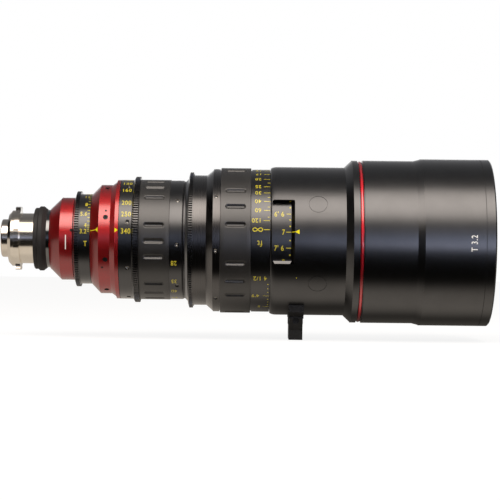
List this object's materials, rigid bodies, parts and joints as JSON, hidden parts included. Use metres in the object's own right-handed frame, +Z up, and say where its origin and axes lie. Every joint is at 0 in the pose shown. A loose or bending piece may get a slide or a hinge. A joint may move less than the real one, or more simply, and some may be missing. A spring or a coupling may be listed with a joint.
{
  "type": "cinema zoom lens",
  "caption": "Long cinema zoom lens with geared iris, zoom and focus rings that drive the glass inside, a positive-lock mount and a support foot.",
  "frame": {"origin": "centre of the mount's seating plane on the optical axis", "axes": "+X along the optical axis towards the front glass, +Z up, the support foot at -Z"},
  "size_m": [0.4731, 0.162, 0.1765],
  "materials": {
    "steel": "turned and polished stainless steel",
    "red_anodised": "turned aluminium, anodised red, satin",
    "black_anodised": "turned aluminium, anodised black, satin",
    "satin_black": "brushed aluminium, black, matt",
    "rubber": "moulded rubber, matt",
    "bare_aluminium": "turned aluminium, clear",
    "brass": "turned brass",
    "blade_steel": "blackened spring steel sheet",
    "black_steel": "black oxide steel",
    "glass": "polished, coated optical glass"
  },
  "bodies": {
    "housing": {"pl_mount": "steel", "rear_tube": "steel", "rear_glass": "glass", "rubber_bumper": "rubber", "rear_collar": "black_anodised", "rear_housing": "red_anodised", "housing_screws": "black_steel", "iris_barrel": "bare_aluminium", "iris_base": "satin_black", "iris_retainer": "satin_black", "relay_housing": "red_anodised", "relay_cell": "satin_black", "relay_glass": "glass", "main_barrel": "bare_aluminium", "guide_tube": "bare_aluminium", "cover": "black_anodised", "cover_plugs": "black_anodised", "front_adapter": "black_anodised", "stripe_ring": "red_anodised", "front_barrel": "black_anodised", "front_section": "black_anodised", "front_cell": "satin_black", "front_glass": "glass", "front_ring": "black_anodised", "foot_saddle": "satin_black", "foot_block": "satin_black", "foot_screws": "black_steel"},
    "iris_ring": {"iris_gear": "black_anodised", "iris_scale_ring": "black_anodised", "iris_actuator": "brass"},
    "zoom_ring": {"cam_drum": "brass", "zoom_key": "steel", "zoom_sleeve": "bare_aluminium", "zoom_scale_ring": "black_anodised", "zoom_gear": "black_anodised", "zoom_grip": "rubber", "zoom_front_ring": "black_anodised", "zoom_screws": "black_steel"},
    "variator": {"variator_carriage": "bare_aluminium", "variator_glass": "glass"},
    "compensator": {"compensator_carriage": "bare_aluminium", "compensator_glass": "glass"},
    "focus_ring": {"focus_drum": "bare_aluminium", "focus_gear": "black_anodised", "focus_sleeve": "satin_black", "focus_screws": "black_steel", "focus_grip": "rubber", "distance_ring": "black_anodised", "window_scale_ring": "black_anodised"},
    "focusing_group": {"focus_carriage": "bare_aluminium", "focus_glass": "glass"},
    "blade_1": {"iris_blade_1": "blade_steel"},
    "blade_2": {"iris_blade_2": "blade_steel"},
    "blade_3": {"iris_blade_3": "blade_steel"},
    "blade_4": {"iris_blade_4": "blade_steel"},
    "blade_5": {"iris_blade_5": "blade_steel"},
    "blade_6": {"iris_blade_6": "blade_steel"},
    "blade_7": {"iris_blade_7": "blade_steel"},
    "blade_8": {"iris_blade_8": "blade_steel"},
    "blade_9": {"iris_blade_9": "blade_steel"}
  },
  "joints": [
    {"name": "iris_turn", "type": "hinge", "parent": "housing", "child": "iris_ring", "pos_m": [0.066, 0, 0], "axis": [1, 0, 0], "range_deg": [0, 88]},
    {"name": "zoom_turn", "type": "hinge", "parent": "housing", "child": "zoom_ring", "pos_m": [0.133, 0, 0], "axis": [1, 0, 0], "range_deg": [0, 158]},
    {"name": "focus_turn", "type": "hinge", "parent": "housing", "child": "focus_ring", "pos_m": [0.206, 0, 0], "axis": [1, 0, 0], "range_deg": [-168, 152]},
    {"name": "variator_slide", "type": "slide", "parent": "housing", "child": "variator", "axis": [1, 0, 0], "range_m": [0, 0.048]},
    {"name": "compensator_slide", "type": "slide", "parent": "housing", "child": "compensator", "axis": [1, 0, 0], "range_m": [-0.018, 0]},
    {"name": "focusing_slide", "type": "slide", "parent": "housing", "child": "focusing_group", "axis": [1, 0, 0], "range_m": [-0.01575, 0.01425]},
    {"name": "blade_1_turn", "type": "hinge", "parent": "housing", "child": "blade_1", "pos_m": [0.06, 0, -0.0235], "axis": [1, 0, 0], "range_deg": [0, 25.8]},
    {"name": "blade_2_turn", "type": "hinge", "parent": "housing", "child": "blade_2", "pos_m": [0.06, 0.01511, -0.018], "axis": [1, 0, 0], "range_deg": [0, 25.8]},
    {"name": "blade_3_turn", "type": "hinge", "parent": "housing", "child": "blade_3", "pos_m": [0.06, 0.02314, -0.00408], "axis": [1, 0, 0], "range_deg": [0, 25.8]},
    {"name": "blade_4_turn", "type": "hinge", "parent": "housing", "child": "blade_4", "pos_m": [0.06, 0.02035, 0.01175], "axis": [1, 0, 0], "range_deg": [0, 25.8]},
    {"name": "blade_5_turn", "type": "hinge", "parent": "housing", "child": "blade_5", "pos_m": [0.06, 0.00804, 0.02208], "axis": [1, 0, 0], "range_deg": [0, 25.8]},
    {"name": "blade_6_turn", "type": "hinge", "parent": "housing", "child": "blade_6", "pos_m": [0.06, -0.00804, 0.02208], "axis": [1, 0, 0], "range_deg": [0, 25.8]},
    {"name": "blade_7_turn", "type": "hinge", "parent": "housing", "child": "blade_7", "pos_m": [0.06, -0.02035, 0.01175], "axis": [1, 0, 0], "range_deg": [0, 25.8]},
    {"name": "blade_8_turn", "type": "hinge", "parent": "housing", "child": "blade_8", "pos_m": [0.06, -0.02314, -0.00408], "axis": [1, 0, 0], "range_deg": [0, 25.8]},
    {"name": "blade_9_turn", "type": "hinge", "parent": "housing", "child": "blade_9", "pos_m": [0.06, -0.01511, -0.018], "axis": [1, 0, 0], "range_deg": [0, 25.8]}
  ],
  "couplings": [
    {"joint": "variator_slide", "follows": "zoom_turn", "m_per_rad": 0.017406},
    {"joint": "compensator_slide", "follows": "zoom_turn", "m_per_rad": -0.0065274},
    {"joint": "focusing_slide", "follows": "focus_turn", "m_per_rad": 0.0053715},
    {"joint": "blade_1_turn", "follows": "iris_turn", "ratio": 0.29318},
    {"joint": "blade_2_turn", "follows": "iris_turn", "ratio": 0.29318},
    {"joint": "blade_3_turn", "follows": "iris_turn", "ratio": 0.29318},
    {"joint": "blade_4_turn", "follows": "iris_turn", "ratio": 0.29318},
    {"joint": "blade_5_turn", "follows": "iris_turn", "ratio": 0.29318},
    {"joint": "blade_6_turn", "follows": "iris_turn", "ratio": 0.29318},
    {"joint": "blade_7_turn", "follows": "iris_turn", "ratio": 0.29318},
    {"joint": "blade_8_turn", "follows": "iris_turn", "ratio": 0.29318},
    {"joint": "blade_9_turn", "follows": "iris_turn", "ratio": 0.29318}
  ]
}
